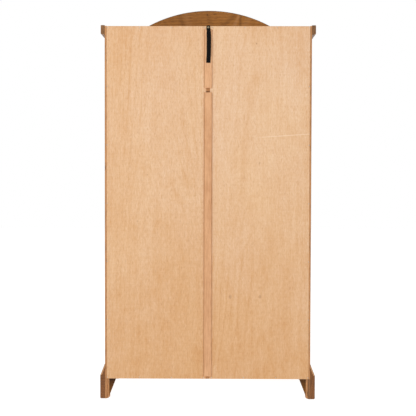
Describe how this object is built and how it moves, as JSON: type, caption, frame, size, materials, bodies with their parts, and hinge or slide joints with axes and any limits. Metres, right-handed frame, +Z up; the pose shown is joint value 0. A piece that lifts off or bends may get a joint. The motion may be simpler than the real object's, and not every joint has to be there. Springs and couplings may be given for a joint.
{
  "type": "jewelry armoire",
  "caption": "Floor-standing jewelry armoire with an arched pediment, hinged doors, drawers, a necklace carousel and a plywood back with cover battens.",
  "frame": {"origin": "on the floor, at the middle of the overall width and depth", "axes": "+Z up, -Y out of the doors, +Y out of the plywood back, +X towards the right-hand side as one faces the doors"},
  "size_m": [0.628, 0.369, 1.1809],
  "materials": {
    "stained_wood": "walnut-stained solid wood, satin lacquer",
    "stained_moulding": "walnut-stained moulding, satin lacquer, slightly worn edges",
    "turned_wood": "turned and stained, satin lacquer",
    "plywood": "unfinished rotary-cut birch plywood",
    "bare_wood": "unfinished pine, planed",
    "drawer_wood": "clear-sealed poplar",
    "webbing": "black ribbed nylon webbing",
    "velvet": "short-pile anti-tarnish velvet, champagne beige",
    "brass": "satin brass plate",
    "screw_brass": "yellow zinc-plated screw",
    "zinc_steel": "zinc-plated steel",
    "catch_plastic": "matt ivory moulding",
    "mirror": "silvered flat glass"
  },
  "bodies": {
    "case": {"side_panel_left": "stained_wood", "side_panel_right": "stained_wood", "top_board": "bare_wood", "bottom_board": "bare_wood", "lower_deck": "bare_wood", "upper_deck": "bare_wood", "fixed_shelf": "bare_wood", "bay_divider": "bare_wood", "back_panel_left": "plywood", "back_panel_right": "plywood", "back_stile_upper": "bare_wood", "back_stile_lower": "bare_wood", "back_batten_upper": "bare_wood", "back_batten_lower": "bare_wood", "back_panel_nails": "zinc_steel", "tip_strap": "webbing", "strap_screw": "screw_brass", "pediment_board": "stained_wood", "cornice_arch": "stained_moulding", "cornice_front_returns": "stained_moulding", "cornice_left": "stained_moulding", "cornice_right": "stained_moulding", "skirt_front": "stained_moulding", "skirt_left": "stained_moulding", "skirt_right": "stained_moulding", "rear_apron": "stained_wood", "corner_blocks": "bare_wood", "hinge_case_leaves": "brass", "hinge_pins": "brass", "door_catch": "catch_plastic", "ring_tray": "stained_wood", "ring_rolls": "velvet", "carousel_bush": "brass"},
    "left_door": {"left_door_stiles": "stained_wood", "left_door_rails": "stained_wood", "left_door_panel": "stained_wood", "left_door_knob": "turned_wood", "left_door_hinge_leaves": "brass", "left_door_mirror": "mirror", "left_door_strike": "zinc_steel"},
    "right_door": {"right_door_stiles": "stained_wood", "right_door_rails": "stained_wood", "right_door_panel": "stained_wood", "right_door_knob": "turned_wood", "right_door_hinge_leaves": "brass", "right_door_hook_rail": "stained_wood", "right_door_hooks": "brass", "right_door_strike": "zinc_steel"},
    "carousel": {"carousel_spindle": "brass", "carousel_disc": "stained_wood", "carousel_hooks": "brass"},
    "upper_drawer": {"upper_drawer_front": "stained_wood", "upper_drawer_box": "drawer_wood", "upper_drawer_knobs": "turned_wood", "upper_drawer_lining": "velvet", "upper_drawer_dividers": "drawer_wood"},
    "lower_drawer": {"lower_drawer_front": "stained_wood", "lower_drawer_box": "drawer_wood", "lower_drawer_knobs": "turned_wood", "lower_drawer_lining": "velvet"}
  },
  "joints": [
    {"name": "left_door_hinge", "type": "hinge", "parent": "case", "child": "left_door", "pos_m": [-0.2872, -0.16525, 0.694], "axis": [0, 0, -1], "range_deg": [0, 115]},
    {"name": "right_door_hinge", "type": "hinge", "parent": "case", "child": "right_door", "pos_m": [0.2872, -0.16525, 0.694], "axis": [0, 0, 1], "range_deg": [0, 115]},
    {"name": "upper_drawer_slide", "type": "slide", "parent": "case", "child": "upper_drawer", "axis": [0, -1, 0], "range_m": [0, 0.24]},
    {"name": "lower_drawer_slide", "type": "slide", "parent": "case", "child": "lower_drawer", "axis": [0, -1, 0], "range_m": [0, 0.24]},
    {"name": "carousel_spin", "type": "hinge", "parent": "case", "child": "carousel", "pos_m": [-0.147, 0.03155, 0.85], "axis": [0, 0, 1], "continuous": true}
  ]
}
